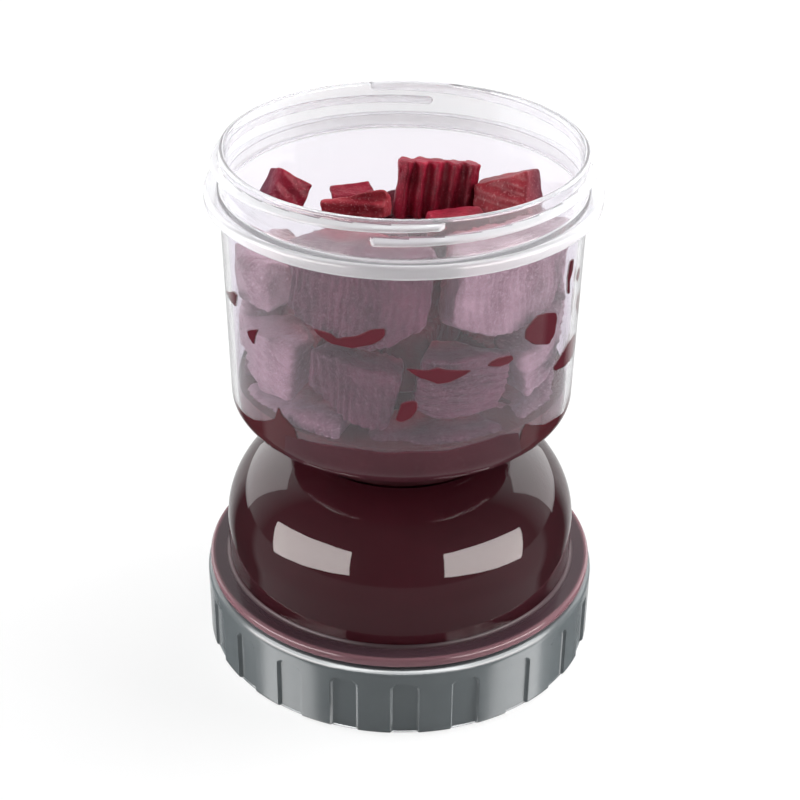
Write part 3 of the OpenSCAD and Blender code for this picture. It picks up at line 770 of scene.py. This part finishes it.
# outlines of the films: angle from the front, to the right, and height
films = {
    "smile": [(-28, 112.8), (-22, 112.5), (-20, 111.4), (-17, 112.3), (-14, 112.8), (-9, 115.2), (-5, 115.6),
              (-5, 114), (-6, 112.5), (-9, 111), (-15, 109.4), (-22, 109.7), (-26, 111.2)],
    "boat": [(1, 105), (8, 104.3), (11, 104.9), (14, 104), (22, 102.9), (19, 101.7), (15, 100.5), (11, 100.3),
             (8, 101.5), (4, 103)],
    "leaf": [(27, 103.2), (28, 104.1), (31, 104.7), (36, 104.3), (37, 103.1), (35, 102.2), (31, 102.1)],
    "patch": [(43, 111.2), (46, 112.5), (50, 112), (56, 110.3), (57, 108.4), (56, 104.2), (53, 102.3),
              (45, 104.8), (41, 107.5), (41, 109.8)],
    "slant": [(57, 94.4), (63, 96.2), (68, 97.5), (75, 97.1), (81, 95), (80, 92), (76, 90.4), (67, 91.1),
              (58, 93)],
    "block": [(0, 95.5), (3, 96.1), (5, 95.7), (5, 93.3), (3, 91), (0, 89.9), (-2, 90.6), (-1, 92.9)],
    "wedge": [(-58, 103.5), (-55, 104.8), (-51, 106.2), (-53, 103.6), (-54, 100.8), (-57, 102)],
    "edge": [(-80, 106.5), (-72, 109.1), (-67, 111.2), (-64, 111.1), (-65, 109.6), (-66, 107.2),
             (-72, 106.8)],
    "streak": [(63, 121.9), (66, 121.7), (66, 118.7), (64, 116.3), (65, 112.4), (63, 113), (62, 117.8)],
    "drop": [(73, 117.2), (75, 114.7), (72, 112.8), (70, 115.1)],
    "tail": [(75, 108.1), (82, 107.7), (82, 102.6), (80, 100.2), (74, 105.3)],
}

poolFilms = {
    "left": [(-120, 77), (-100, 76.5), (-82, 76.2), (-64, 77), (-57, 78.1), (-50, 80.4), (-45, 82.8),
             (-43, 87), (-41, 84.9), (-36, 82.7), (-35, 79.6), (-36, 74), (-41, 69.6), (-60, 68.4),
             (-90, 68.4), (-120, 68.4)],
    "right": [(120, 79), (100, 80.5), (82, 82), (78, 78.6), (69, 76.4), (61, 77.9), (55, 78.6), (47, 81.1),
              (44, 82.8), (42, 80.6), (41, 76), (44, 69.6), (60, 68.4), (90, 68.4), (120, 68.4)],
}

bandFilm = [(-40, 80.0), (-34, 80.2), (-25, 80.9), (-15, 81.6), (-5, 81.2), (4, 81.8), (14, 81.2), (24, 81.9),
            (34, 82.3), (41, 80.8), (43, 75), (46, 69.6), (30, 68.2), (0, 68.2), (-30, 68.2), (-45, 69.4),
            (-41, 75)]


def buildPool():
    p, u = poolSet, upperCup
    off, level = p["off"], p["level"]
    centre = u["lowR"] - u["bottomW"]
    w, h = u["bottomW"] - u["wall"] - off, u["bottomH"] - u["wall"] - off
    bore = u["boreR"] - off
    foot = p["strainerTop"] + p["strainerGap"]
    shore = innerRadius(level) - off
    rimW, rimH = p["meniscus"]
    outline = [(0, foot)]
    outline += linePoints((bore, foot), (bore, u["floorZ"] + off), step=2)
    outline += arcPoints(centre, u["bottomZ"], w, h, -domeEnd(centre, w, bore + p["boreOut"]), 0, steps=30)
    outline += [(shore, level + p["rimRise"])]
    outline += arcPoints(shore, level + rimH, rimW, rimH, 240, 270, steps=3)[::-1]
    outline += linePoints((innerRadius(level) - p["flatIn"], level), (0, level), step=3)
    pool = turnPiece("upper_juice_pool", outline, p["steps"], closed=False)
    for v in pool.data.vertices:
        r, z = radiusAndHeight(v.co)
        if u["floorZ"] - 2 * meshSet["slack"] < z < p["wetTo"] + p["wetFade"] and r > bore + meshSet["slack"]:
            dry = smoothStep((z - p["wetTo"] + p["wetFade"] / 2) / p["wetFade"])
            wet = (off + p["into"]) * (1 - dry)
            steep = math.atan2((u["bottomZ"] - z) / h ** 2, (r - centre) / w ** 2)
            pushOut(v.co, r, wet * math.cos(steep))
            v.co.z -= wet * math.sin(steep) * mm
    pool.data.materials.append(finishes["poolJuice"])
    smoothPiece(pool, angle=50)
    finishPiece(pool, "upper_chamber", "juice", "upper_juice")


def wallPoint(angle, z, off):
    # a place on the inner wall, in metres, moved outwards along its normal
    step = 0.05
    slope = (innerRadius(z + step) - innerRadius(z - step)) / (2 * step)
    size = math.hypot(1, slope)
    r = innerRadius(z) + off / size
    a = math.radians(angle - 90)
    return Vector((r * math.cos(a) * mm, r * math.sin(a) * mm, (z - off * slope / size) * mm))


def bisectAll(place, normal):
    bpy.ops.mesh.select_all(action="SELECT")
    bpy.ops.mesh.bisect(plane_co=place, plane_no=normal, threshold=meshSet["cutMetres"])


def cutPlaces(values, step):
    places = [min(values) + step]
    while places[-1] < max(values):
        places.append(places[-1] + step)
    return places[:-1]


def frontVertices(obj):
    # vertices of the film's front face, and those on its rim
    front = {v.index for v in obj.data.vertices if v.co.y < filmSet["flatDeep"] / 2 * mm}
    uses = {}
    for face in obj.data.polygons:
        if front.issuperset(face.vertices):
            for key in face.edge_keys:
                uses[key] = uses.get(key, 0) + 1
    return front, {i for key, count in uses.items() if count == 1 for i in key}


def buildFilm(name, outline, finish, into):
    f = filmSet
    degree = f["degree"]
    obj = drawPath(name, [(a * degree * mm, 0, z * mm) for a, z in outline], closed=True)
    bpy.ops.mesh.select_mode(type="VERT")
    bpy.ops.mesh.select_all(action="SELECT")
    bpy.ops.mesh.edge_face_add()
    bpy.ops.mesh.bevel(offset=f["corner"] * mm, segments=2, affect="VERTICES")
    bpy.ops.mesh.select_all(action="SELECT")
    bpy.ops.mesh.select_mode(type="FACE")
    bpy.ops.mesh.inset(thickness=f["rim"] * mm, depth=0)
    for cut in cutPlaces([a for a, z in outline], f["angleStep"]):
        bisectAll((cut * degree * mm, 0, 0), (1, 0, 0))
    for cut in cutPlaces([z for a, z in outline], f["heightStep"]):
        bisectAll((0, 0, cut * mm), (0, 0, 1))
    bpy.ops.mesh.select_all(action="SELECT")
    bpy.ops.mesh.select_mode(type="FACE")
    bpy.ops.mesh.extrude_region_move(TRANSFORM_OT_translate={"value": (0, f["flatDeep"] * mm, 0)})
    bpy.ops.object.mode_set(mode="OBJECT")
    # the front lies in the wall, its rim and the back behind the wall's inner face
    front, rim = frontVertices(obj)
    for v in obj.data.vertices:
        if v.index in front:
            off = -f["rimBehind"] if v.index in rim else into
        else:
            off = -f["behind"]
        v.co = wallPoint(v.co.x / mm / degree, v.co.z / mm, off)
    faceOutwards(obj)
    obj.data.materials.append(finishes[finish])
    smoothPiece(obj, angle=60)
    finishPiece(obj, "upper_chamber", "juice")


buildPool()
for filmName, filmOutline in films.items():
    buildFilm("wet_film_" + filmName, filmOutline, "filmJuice", filmSet["into"])
for filmName, filmOutline in poolFilms.items():
    buildFilm("pool_film_" + filmName, filmOutline, "poolJuice", filmSet["into"])
buildFilm("pool_film_front", bandFilm, "bandJuice", filmSet["bandInto"])
print("stage 6: juice pool and", len(films) + len(poolFilms) + 1, "films")


# beetroot slices: rings of them along the wall, pairs in the core, and loose ones on top

# gap is the solids' gap between neighbours, close what a slice takes of it on each side
pile = {
    "gap": 3.0, "close": 1.0, "depth": 13.0, "coreDepth": 13.0, "coreGap": 0.3, "wallGap": 0.15,
    "wideCount": 6, "midCount": 9, "floorR": 40.88, "ringR": 43.2,
    "floorLow": 72.4, "floorHigh": 12.3, "floorTurn": -78,
    "coreLow": 67.3, "coreHigh": 17.4, "floorCoreTurn": 20,
    "midLow": 85.0, "midHigh": 20.0, "midTurn": -107, "midCoreTurn": 75,
    "upperLow": 105.3, "frontHigh": 29.0, "sideHigh": 16.0, "upperTurn": -106, "upperCoreTurn": -55,
    "topLow": 121.6,
}

# slices on top: x, y, turn, width, thickness and height, as parts of the ring's radius
topPile = [(0.19, 0.21, 5, 0.51, 0.21, 0.33), (-0.69, 0.09, 60, 0.3, 0.2, 0.3),
           (-0.28, -0.05, -8, 0.39, 0.25, 0.23), (-0.3, 0.23, 12, 0.3, 0.18, 0.14),
           (0.65, 0.09, -35, 0.32, 0.23, 0.28), (0.3, -0.19, 10, 0.32, 0.21, 0.16),
           (-0.14, -0.34, 8, 0.37, 0.18, 0.18)]

# pitch and cut are the crinkles'; lumps are waves to a millimetre and their share of the bump
sliceShape = {
    "wall": {"voxel": 0.6, "round": 1.7, "pitch": 2.1, "cut": 0.36, "bump": 0.85, "flesh": "wallBeetroot"},
    "top": {"voxel": 0.45, "round": 0.6, "pitch": 4.1, "cut": 0.85, "bump": 0.45, "flesh": "wetBeetroot"},
    "corner": 1.5, "coreCorner": 0.3, "cornerMost": 3.0, "cornerShare": 0.12, "cornerLeast": 0.6,
    "cornerDeep": 0.5, "crinkleTurns": (90, 85, 0, 8, 60), "phaseMost": 6, "seedMost": 99, "firstSeed": 100,
    "lean": 3, "tilt": 9, "moon": 0.25, "moonCurve": 2.4, "jut": 0.75, "noiseSeed": 7,
    "grooveFrom": 0.25, "grooveOver": 0.6, "lumps": ((0.11, 1.6), (0.45, 0.45)),
}

# how single slices differ from the others: tilt in the wall's plane, lean, swing about the upright, turn and
# depth of the crinkles, round lower edge, pulled-in corners, reach to the wall, growth in width, shift,
# flesh, and how far the ends go up or down
sliceLooks = {
    "beet_front_1": {"moon": 0.5, "crinkle": 92, "jut": 0.95},
    "beet_front_2": {"crinkle": 80, "tilt": 6},
    "beet_side_2": {"crinkle": 50, "jut": 0.95},
    "beet_mid_9": {"tilt": 20, "crinkle": 72, "moon": 0.15},
    "beet_mid_1": {"tilt": 4, "crinkle": 4},
    "beet_top_1": {"crinkle": 90, "lean": -12, "corner": 0.5, "tilt": 6, "sink": 4, "rise": -0.4,
                   "cut": 1.15},
    "beet_top_2": {"crinkle": 20, "lean": -22, "tilt": 34, "swing": -38, "cut": 0.2, "corner": 1.6},
    "beet_top_3": {"crinkle": 5, "lean": -25, "flesh": "cutBeetroot"},
    "beet_top_5": {"crinkle": 30, "lean": -28, "tilt": -24, "cut": 0.25, "grow": 1.35, "sink": 2, "rise": 1,
                   "corner": 1.5, "shift": -2.6, "flesh": "cutBeetroot"},
    "beet_top_6": {"cut": 0.2, "grow": 1.2, "rise": 1.2},
    "beet_top_7": {"flesh": "neckBeetroot", "cut": 0.3},
}

# slices painted with the paler veil, where side light makes the wall's scattered light brighter
paleVeilSlices = ("beet_front_2", "beet_side_1", "beet_side_2", "beet_mid_2", "beet_mid_3", "beet_mid_7",
                  "beet_mid_8", "beet_floor_1", "beet_floor_5")


def halfSeat(count, radius):
    # half the angle that a slice takes up in its ring
    return math.radians(180 / count) - math.asin(pile["gap"] / 2 / radius)


def slicePlace(name, far, angle, wide, inner, deep, low, high):
    return {"name": name, "x": far * math.cos(angle), "y": far * math.sin(angle),
            "turn": math.degrees(angle) + 90, "wide": wide, "inner": inner, "deep": deep,
            "low": low, "high": high}


def ringPlace(name, count, radius, turn, seat, low, high):
    half = halfSeat(count, radius)
    face = radius * math.cos(half)
    wide = 2 * radius * math.sin(half) + 2 * pile["close"]
    inner = 2 * (face - pile["depth"]) * math.tan(math.pi / count) - pile["gap"] / math.cos(math.pi / count)
    angle = math.radians(turn + seat * 360 / count)
    return slicePlace(name, face - pile["depth"] / 2, angle, wide, inner + 2 * pile["close"], pile["depth"],
                      low, high)


def corePlace(name, count, radius, turn, seat, low, high):
    room = radius * math.cos(halfSeat(count, radius)) - pile["depth"] - pile["gap"] / 2
    wide = 2 * math.sqrt(room ** 2 - (pile["coreDepth"] + pile["coreGap"]) ** 2)
    angle = math.radians(turn + 180 * seat - 90)
    return slicePlace(name, pile["coreDepth"] / 2 + pile["coreGap"], angle, wide, wide, pile["coreDepth"],
                      low, high)


def pilePlaces():
    p = pile
    wide, mid, r = p["wideCount"], p["midCount"], p["ringR"]
    layers = [
        (ringPlace, "beet_floor", wide, "floorR", "floorTurn", range(1, wide + 1), "floorLow", "floorHigh"),
        (corePlace, "beet_floor_core", wide, "floorR", "floorCoreTurn", (1, 2), "coreLow", "coreHigh"),
        (ringPlace, "beet_mid", mid, "ringR", "midTurn", range(1, mid + 1), "midLow", "midHigh"),
        (corePlace, "beet_mid_core", mid, "ringR", "midCoreTurn", (1, 2), "midLow", "midHigh"),
        (ringPlace, "beet_front", wide, "ringR", "upperTurn", (0, 1), "upperLow", "frontHigh"),
        (ringPlace, "beet_side", wide, "ringR", "upperTurn", (2, wide - 1), "upperLow", "sideHigh"),
        (corePlace, "beet_upper_core", wide, "ringR", "upperCoreTurn", (1, 2), "upperLow", "sideHigh"),
    ]
    places = []
    for makePlace, name, count, radius, turn, seats, low, high in layers:
        for i, seat in enumerate(seats):
            places.append(makePlace(f"{name}_{i + 1}", count, p[radius], p[turn], seat, p[low], p[high]))
    for i, (x, y, turn, wideShare, deepShare, highShare) in enumerate(topPile):
        places.append({"name": f"beet_top_{i + 1}", "x": x * r, "y": y * r, "turn": turn,
                       "wide": wideShare * r, "inner": wideShare * r, "deep": deepShare * r,
                       "low": p["topLow"], "high": highShare * r})
    return places


def turned(degrees, axis):
    return Matrix.Rotation(math.radians(degrees), 4, axis)


def shapeSlice(obj, place, looks, kind, rng):
    s = sliceShape
    wide, deep, high = place["wide"], place["deep"], place["high"]
    core = "core" in place["name"]
    corner = looks.get("corner", s["coreCorner"] if core else s["corner"])
    corner *= min(s["cornerMost"], s["cornerShare"] * min(wide, high) + s["cornerLeast"])
    pull = {}
    for ix in (-1, 1):
        for iy in (-1, 1):
            for iz in (-1, 1):
                pull[ix, iy, iz] = Vector((-ix * rng.uniform(0, corner),
                                           -iy * rng.uniform(0, s["cornerDeep"] * corner),
                                           -iz * rng.uniform(0, corner)))
    grooves = math.radians(looks.get("crinkle", rng.choice(s["crinkleTurns"])))
    phase = rng.uniform(0, s["phaseMost"])
    cut = looks.get("cut", kind["cut"])
    seed = Vector([rng.uniform(0, s["seedMost"]) for _ in range(3)])
    across = Vector((math.sin(grooves), 0, math.cos(grooves)))  # direction from groove to groove
    turnAll = (turned(place["turn"] + looks.get("swing", 0), "Z")
               @ turned(looks.get("lean", rng.uniform(-s["lean"], s["lean"])), "X")
               @ turned(looks.get("tilt", rng.uniform(-s["tilt"], s["tilt"])), "Y"))
    middle = Vector((place["x"] + looks.get("shift", 0), place["y"], place["low"] + high / 2))
    moon = looks.get("moon", rng.uniform(0, s["moon"]))
    jut = 0.0 if deep != pile["depth"] or core else looks.get("jut", s["jut"])
    faceR = math.hypot(place["x"], place["y"]) + deep / 2
    wallR = innerRadius(place["low"] + high / 2) - pile["wallGap"]
    for v in obj.data.vertices:
        q = v.co / mm
        u, w, t = 2 * q.x / wide, 2 * q.y / deep, 2 * q.z / high
        # round lower edge, the wedge that a ring of slices leaves, and the bulge to the wall
        q.z += moon * high * 0.5 * max(0, -t) * min(1, abs(u)) ** s["moonCurve"]
        q.z += looks.get("rise", 0) * max(0, t) - looks.get("sink", 0) * max(0, -t)
        q.x *= looks.get("grow", 1)
        q.x *= mixValue(1, place["inner"] / wide, (w + 1) / 2)
        q.y -= jut * smoothStep(-w) * max(0, math.sqrt(max(0, wallR ** 2 - q.x ** 2)) - faceR)
        for (ix, iy, iz), move in pull.items():
            share = (1 + ix * u) * (1 + iy * w) * (1 + iz * t) / 8
            q += move * max(0, share)
        wave = math.cos(2 * math.pi * q.dot(across) / kind["pitch"] + phase)
        side = 1 if w > 0 else -1
        q.y += side * cut * (wave - 1) * smoothStep((abs(w) - s["grooveFrom"]) / s["grooveOver"])
        lumps = Vector()
        for waves, share in s["lumps"]:
            lumps += noise.noise_vector((q + seed) * waves) * kind["bump"] * share
        q += lumps
        q = turnAll @ q + middle
        r = math.hypot(q.x, q.y)
        limit = innerRadius(q.z) - pile["wallGap"]
        if r > limit:
            q.x *= limit / r
            q.y *= limit / r
        v.co = q * mm


def buildSlice(place, number):
    name = place["name"]
    looks = sliceLooks.get(name, {})
    kind = sliceShape["top" if place["low"] == pile["topLow"] else "wall"]
    bpy.ops.object.select_all(action="DESELECT")
    bpy.ops.mesh.primitive_cube_add(size=1)
    obj = bpy.context.object
    obj.name = name + "_cut"
    obj.data.name = obj.name
    bpy.ops.object.mode_set(mode="EDIT")
    bpy.ops.mesh.select_all(action="SELECT")
    bpy.ops.transform.resize(value=(place["wide"] * mm, place["deep"] * mm, place["high"] * mm))
    bpy.ops.mesh.bevel(offset=kind["round"] * mm, segments=3, affect="EDGES")
    bpy.ops.object.mode_set(mode="OBJECT")
    remesh = obj.modifiers.new("remesh", "REMESH")
    remesh.mode = "VOXEL"
    remesh.voxel_size = kind["voxel"] * mm
    selectOnly(obj)
    bpy.ops.object.modifier_apply(modifier=remesh.name)
    shapeSlice(obj, place, looks, kind, random.Random(sliceShape["firstSeed"] + number))
    flesh = looks.get("flesh", "coreBeetroot" if "core" in name else kind["flesh"])
    obj.data.materials.append(finishes["bleachedBeetroot" if name in paleVeilSlices else flesh])
    selectOnly(obj)
    bpy.ops.object.shade_smooth()
    finishPiece(obj, "upper_chamber", "beetroot", name)
    return obj


# unseeded, the noise would start from the clock
noise.seed_set(sliceShape["noiseSeed"])
slices = [buildSlice(place, i) for i, place in enumerate(pilePlaces())]
print("stage 7:", len(slices), "slices,", sum(len(s.data.polygons) for s in slices), "faces")


# nodes that keep their shape

nodeFinishes = {"lid_seal": "sealSilicone", "waist_seal": "sealSilicone", "strainer": "strainerPlastic"}
for nodeName, finish in nodeFinishes.items():
    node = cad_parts[nodeName]
    node.data.materials.clear()
    node.data.materials.append(finishes[finish])


# floor, light and surroundings, in metres; far is a lamp's distance from the point that all lamps aim at

studio = {
    "aim": (0, 0, 0.07),
    "floorSize": 6.0, "floorZ": -0.0002, "floorTones": ((0.86, 0.86, 0.86), (0.88, 0.88, 0.88)),
    "floorGlow": (0.75, 1.0, 0.4, 1.2), "paperSize": 300.0,
    "softbox": {"size": (0.8, 0.7), "far": 1.0, "azimuths": (-96, 96), "elevation": 18, "power": 15.0},
    "glow": {"size": (1.2, 0.6), "far": 1.15, "azimuths": (-60, 57), "elevation": 14, "power": 20.0,
             "roll": 15, "colour": (1.0, 0.93, 0.91)},
    "strip": {"size": (0.7, 0.8), "far": 1.1, "azimuths": (-132, 132), "elevation": 16, "power": 3.0},
    "lidCard": {"size": (0.28, 0.4), "far": 0.6, "azimuths": (-66, 72), "elevation": -38, "power": 1.2},
    "lidBrow": {"size": (0.8, 0.8), "far": 0.7, "azimuths": (-60, 0, 60), "elevation": 45, "power": 20.0},
    "overhead": {"size": (0.7, 0.7), "place": (0.45, 0.35, 1.1), "power": 8.0},
}

# the room that glossy faces mirror: two strengths, then the direction's Y or Z where each of them holds
mirrored = {
    "sky": 0.32, "backWall": (0.07, 0.95, 0.1, 0.4), "horizon": (1.0, 0.0, -0.03, 0.0),
    "nearFloor": (0.34, 0.50, -0.8, -0.2), "nearFade": (1.0, 0.1, 0.17, 0.27),
    "farFloor": (0.0, 0.87, 0.6, 0.75),
}


def seenDirectly(tree):
    # rays from the camera, also through the clear walls
    path = addNode(tree, "LightPath").outputs
    return mathNode(tree, "MAXIMUM", path["Is Camera Ray"], path["Is Transmission Ray"])


def floorMaterial():
    mat, tree = newMaterial("paleFloor")
    place = objectPlace(tree)
    paper = noiseNode(tree, place, studio["paperSize"], detail=3.0)
    diffuse = addNode(tree, "BsdfDiffuse", {"Color": mixColour(tree, paper, *studio["floorTones"])})
    glow = addNode(tree, "Emission")
    # white far from the jar, where the lamps don't reach
    white = rangeNode(tree, radiusNode(tree, place), *studio["floorGlow"])
    share = mathNode(tree, "MULTIPLY", seenDirectly(tree), white)
    showShader(tree, mixShader(tree, share, diffuse.outputs["BSDF"], glow.outputs["Emission"]))
    return mat


def buildFloor():
    bpy.ops.object.select_all(action="DESELECT")
    bpy.ops.mesh.primitive_plane_add(size=studio["floorSize"], location=(0, 0, studio["floorZ"]))
    floor = bpy.context.object
    floor.name = "floor"
    floor.data.materials.append(floorMaterial())
    floor.visible_glossy = floor.visible_shadow = False  # the room stands in for it in reflections


def buildWorld():
    m = mirrored
    world = bpy.data.worlds.new("studio")
    bpy.context.scene.world = world
    world.use_nodes = True
    tree = world.node_tree
    tree.nodes.clear()
    way = addNode(tree, "SeparateXYZ", {"Vector": addNode(tree, "TexCoord").outputs["Generated"]}).outputs
    # above the horizon a white wall behind and a dim room in front
    back = rangeNode(tree, way["Y"], *m["backWall"])
    # below it the pale floor in front, dim beside the jar, pale again far behind
    near = mathNode(tree, "MULTIPLY", rangeNode(tree, way["Y"], *m["nearFloor"]),
                    rangeNode(tree, way["Y"], *m["nearFade"]))
    ground = mathNode(tree, "ADD", near, rangeNode(tree, way["Y"], *m["farFloor"]))
    below = rangeNode(tree, way["Z"], *m["horizon"])
    room = addNode(tree, "Mix", {"Factor": below, "A": back, "B": ground}).outputs["Result"]
    wall = addNode(tree, "Background", {"Strength": room}).outputs["Background"]
    soft = addNode(tree, "Background", {"Strength": m["sky"]}).outputs["Background"]
    white = addNode(tree, "Background", {"Color": (1, 1, 1), "Strength": 1.0}).outputs["Background"]
    glossyRay = addNode(tree, "LightPath").outputs["Is Glossy Ray"]
    lit = mixShader(tree, glossyRay, soft, wall)
    addNode(tree, "OutputWorld", {"Surface": mixShader(tree, seenDirectly(tree), lit, white)})


def addArea(name, place, lamp, glossyOnly):
    data = bpy.data.lights.new(name, "AREA")
    data.shape = "RECTANGLE"
    data.size, data.size_y = lamp["size"]
    data.energy = lamp["power"]
    data.color = lamp.get("colour", (1.0, 1.0, 1.0))
    light = bpy.data.objects.new(name, data)
    bpy.context.scene.collection.objects.link(light)
    light.location = place
    light.rotation_euler = (aim - Vector(place)).to_track_quat("-Z", "Y").to_euler()
    light.visible_transmission = False
    if glossyOnly:
        light.visible_diffuse = False
    else:
        light.visible_glossy = False
    return light


def addPanels(name, glossyOnly):
    # lamps on a circle round the jar, azimuth counted from the front to the right
    lamp = studio[name]
    panels = []
    for i, azimuth in enumerate(lamp["azimuths"]):
        turn, rise = math.radians(azimuth), math.radians(lamp["elevation"])
        way = Vector((math.cos(rise) * math.sin(turn), -math.cos(rise) * math.cos(turn), math.sin(rise)))
        light = addArea(f"{name}_{i + 1}", aim + way * lamp["far"], lamp, glossyOnly)
        light.rotation_euler.rotate_axis("Z", -math.copysign(math.radians(lamp.get("roll", 0)), azimuth))
        panels.append(light)
    return panels


aim = Vector(studio["aim"])
buildFloor()
buildWorld()
addPanels("softbox", glossyOnly=False)
for panelName in ("glow", "strip"):
    addPanels(panelName, glossyOnly=True)
# the low cards and those above shine on the lid alone
lidOnly = bpy.data.collections.new("lidOnly")
lidOnly.objects.link(lidShell)
for panelName in ("lidCard", "lidBrow"):
    for panel in addPanels(panelName, glossyOnly=True):
        panel.light_linking.receiver_collection = lidOnly
addArea("overhead", studio["overhead"]["place"], studio["overhead"], glossyOnly=False)
print("stage 8: floor, lights and surroundings")
